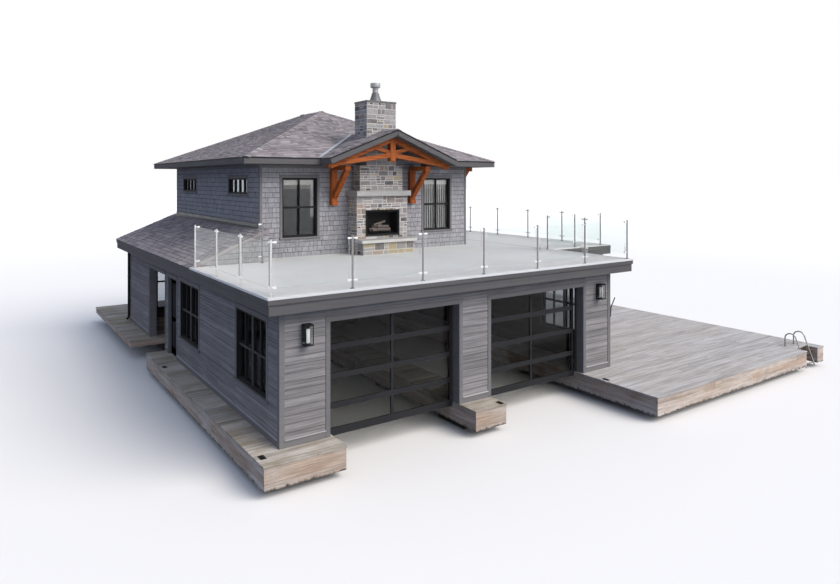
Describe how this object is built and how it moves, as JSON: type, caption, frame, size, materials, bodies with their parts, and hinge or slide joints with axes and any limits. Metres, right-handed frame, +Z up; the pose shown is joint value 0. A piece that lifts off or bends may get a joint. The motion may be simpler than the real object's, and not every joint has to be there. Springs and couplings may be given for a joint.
{
  "type": "two-storey boathouse with a roof terrace and docks",
  "caption": "Timber boathouse with glazed boat doors, timber docks, a roof terrace with glass rails and a hip-roofed cabin with an outdoor fireplace.",
  "frame": {"origin": "middle of the footprint at the waterline, the underside of the cribs", "axes": "+Z up, +Y from the boat doors to the back, +X to the right seen from the front"},
  "size_m": [17.59, 19.74, 8.727],
  "materials": {
    "dock_timber": "weathered softwood deck boards and facings, grey brown",
    "crib_timber": "wet dark crib timber",
    "siding": "grey stained horizontal lap siding",
    "shingle_siding": "grey stained shingle siding",
    "trim_boards": "dark grey painted trim and fascia boards",
    "terrace_floor": "pale matt terrace floor",
    "railing_steel": "satin stainless steel",
    "clear_glass": "clear sheet glass",
    "window_black": "satin black frames",
    "boat_door_metal": "dark bronze aluminium door frame",
    "door_leaf": "dark painted door",
    "roof_shingles": "mottled grey brown asphalt shingles",
    "oiled_timber": "orange brown oiled heavy timber",
    "field_stone": "mixed grey and buff ledge stone",
    "cut_stone": "pale cut stone slab",
    "black_steel": "matt black steel",
    "flue_steel": "weathered stainless flue"
  },
  "bodies": {
    "root": {"boat_door_glass": "clear_glass", "boat_door_left": "boat_door_metal", "boat_door_right": "boat_door_metal", "cabin_front_wall": "shingle_siding", "cabin_glass": "clear_glass", "cabin_left_wall": "shingle_siding", "cabin_rear_wall": "shingle_siding", "cabin_right_wall": "shingle_siding", "cabin_window_frames": "window_black", "centre_dock": "dock_timber", "chimney_breast": "field_stone", "chimney_cap": "black_steel", "chimney_stack": "field_stone", "cribs": "crib_timber", "door_tracks": "railing_steel", "firebox": "black_steel", "fireplace": "field_stone", "flue": "flue_steel", "front_header": "siding", "front_pier_centre": "siding", "front_pier_left": "siding", "front_pier_right": "siding", "gable_roof": "roof_shingles", "hearth": "cut_stone", "hip_roof": "roof_shingles", "ladder": "railing_steel", "lanterns": "black_steel", "left_dock": "dock_timber", "left_wall_front": "siding", "left_wall_header": "siding", "left_wall_pier": "siding", "left_wall_rear": "siding", "lower_glass": "clear_glass", "lower_window_frames": "window_black", "mantel": "cut_stone", "railing_glass": "clear_glass", "railing_posts": "railing_steel", "rear_dock": "dock_timber", "rear_wall": "siding", "right_dock": "dock_timber", "right_wall": "siding", "side_deck": "terrace_floor", "side_deck_posts": "trim_boards", "side_door_frame": "trim_boards", "skirt_roof": "roof_shingles", "skirt_roof_ends": "shingle_siding", "terrace": "terrace_floor", "terrace_fascia": "trim_boards", "timber_brackets": "oiled_timber", "truss": "oiled_timber"},
    "door_leaf": {"side_door": "door_leaf", "side_door_handle": "railing_steel"}
  },
  "joints": [
    {"name": "side_door_hinge", "type": "hinge", "parent": "root", "child": "door_leaf", "pos_m": [-8.01, 0.81, 1.77], "axis": [0, 0, 1], "range_deg": [0, 95]}
  ]
}
